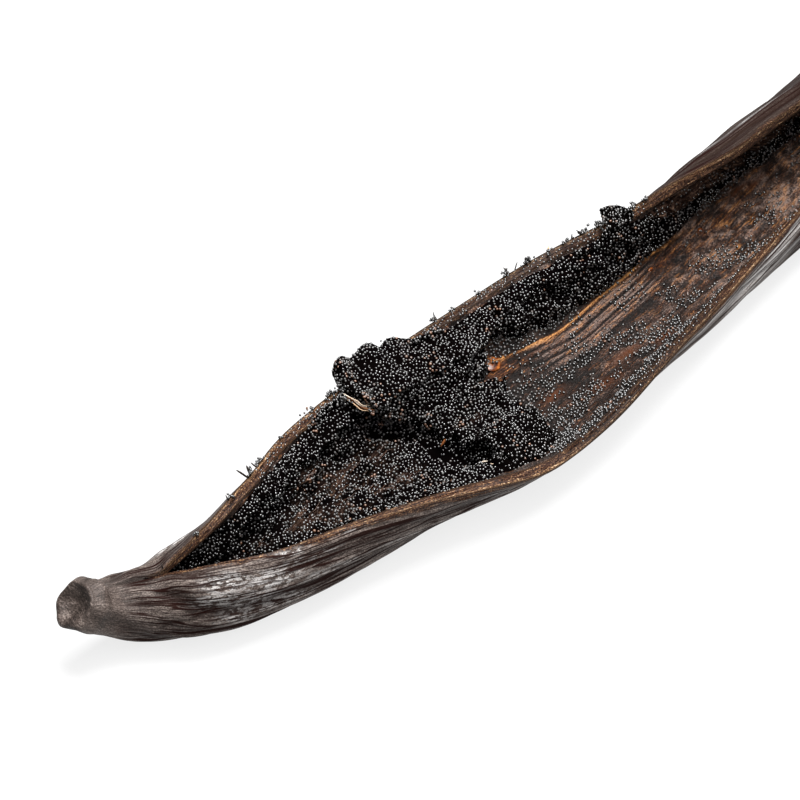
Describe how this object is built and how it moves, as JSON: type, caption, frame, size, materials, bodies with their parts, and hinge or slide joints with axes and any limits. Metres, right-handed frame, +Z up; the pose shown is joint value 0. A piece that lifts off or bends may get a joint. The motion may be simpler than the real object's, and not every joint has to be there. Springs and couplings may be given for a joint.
{
  "type": "vanilla pod",
  "caption": "Vanilla pod slit lengthwise and opened out, with its seeds partly scraped away, lying on its back.",
  "frame": {"origin": "On the surface that the pod lies on, under the middle of the box round it.", "axes": "+X runs along the pod from its flower end to its stem end, +Z up, +Y towards the wall that keeps its seeds."},
  "size_m": [0.1452, 0.0211, 0.0098],
  "materials": {
    "pod_skin": "wrinkled, waxy dark brown skin",
    "seeds": "tiny glossy black seeds in dark oily pulp"
  },
  "bodies": {
    "root": {"pod_skin": "pod_skin", "seed_mass": "seeds"}
  },
  "joints": []
}
